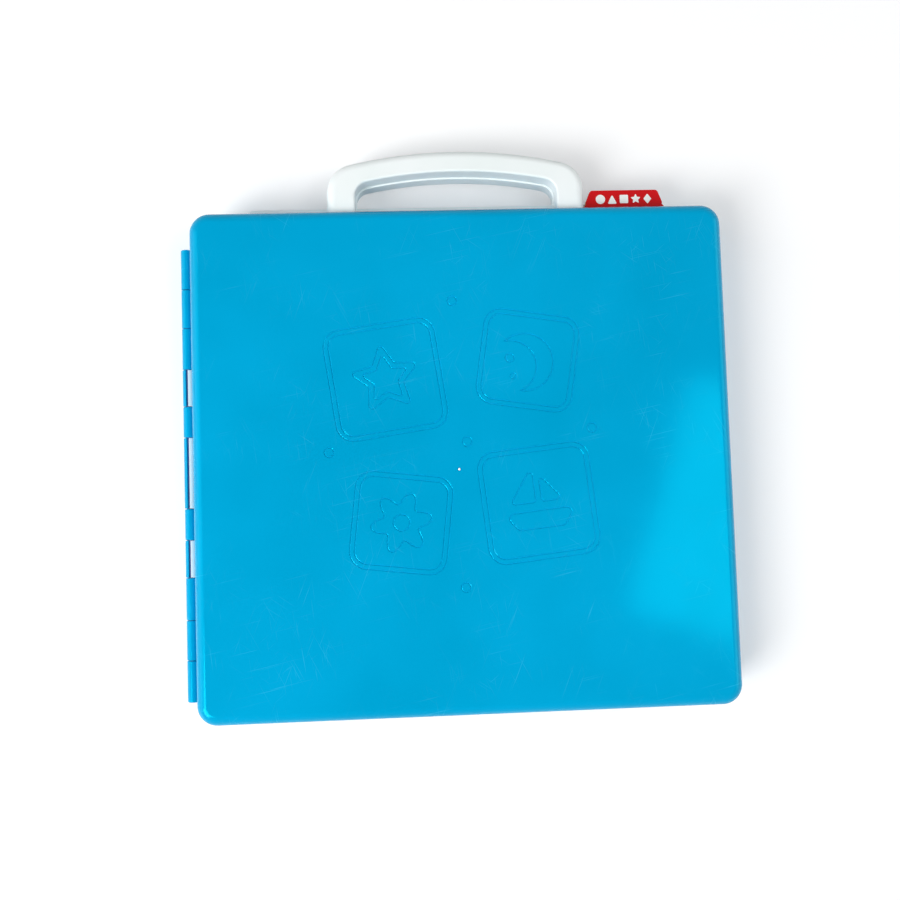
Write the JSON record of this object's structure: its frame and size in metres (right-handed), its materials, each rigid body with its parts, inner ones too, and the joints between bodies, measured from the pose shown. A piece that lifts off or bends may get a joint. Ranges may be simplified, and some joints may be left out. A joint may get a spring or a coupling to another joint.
{
  "type": "travel word tile game case",
  "caption": "Flat square carrying case for a letter tile game: blue book-style covers on a side hinge, a white frame with arched handle, a tile tray, and tabbed picture cards.",
  "frame": {"origin": "centre of the back cover's flat outer face, on which the closed case lies", "axes": "+X from the hinge to the opening edge, +Y towards the handle, +Z from the back cover up to the front cover"},
  "size_m": [0.2874, 0.2972, 0.036],
  "materials": {
    "blue_shell": "moulded cyan-blue polypropylene, glossy with fine wear scratches",
    "white_shell": "moulded white polypropylene, satin gloss",
    "navy_rod": "extruded navy plastic rod, satin",
    "screw_steel": "zinc-plated steel, bright",
    "card_red": "laminated printed board, red",
    "card_yellow": "laminated printed board, yellow",
    "card_green": "laminated printed board, green",
    "card_purple": "laminated printed board, purple",
    "card_orange": "laminated printed board, orange",
    "tile_ivory": "moulded ivory polystyrene, satin",
    "tile_red": "moulded red polystyrene, satin"
  },
  "bodies": {
    "base": {"back_cover": "blue_shell", "middle_frame": "white_shell", "tile_tray": "white_shell", "frame_screws": "screw_steel", "hinge_pin": "navy_rod", "handle_front": "white_shell", "handle_back": "white_shell", "handle_screws": "screw_steel", "tile_a": "tile_red", "tile_b": "tile_ivory", "tile_c": "tile_ivory", "tile_d": "tile_ivory", "tile_e": "tile_red", "tile_f": "tile_ivory", "tile_g": "tile_ivory", "tile_h": "tile_ivory", "tile_i": "tile_red", "tile_j": "tile_ivory", "tile_k": "tile_ivory", "tile_l": "tile_ivory", "tile_m": "tile_ivory", "tile_n": "tile_ivory", "tile_o": "tile_red", "tile_p": "tile_ivory", "tile_q": "tile_ivory", "tile_r": "tile_ivory", "tile_s": "tile_ivory", "tile_t": "tile_ivory", "tile_u": "tile_red", "tile_v": "tile_ivory", "tile_w": "tile_ivory", "tile_x": "tile_ivory", "tile_y": "tile_ivory", "tile_z": "tile_ivory"},
    "lid": {"front_cover": "blue_shell", "card_pocket": "white_shell", "pocket_screws": "screw_steel", "card_1": "card_red", "card_2": "card_yellow", "card_3": "card_green", "card_4": "card_purple", "card_5": "card_orange"}
  },
  "joints": [
    {"name": "cover_hinge", "type": "hinge", "parent": "base", "child": "lid", "pos_m": [-0.1442, 0, 0.018], "axis": [0, -1, 0], "range_deg": [0, 180]}
  ]
}
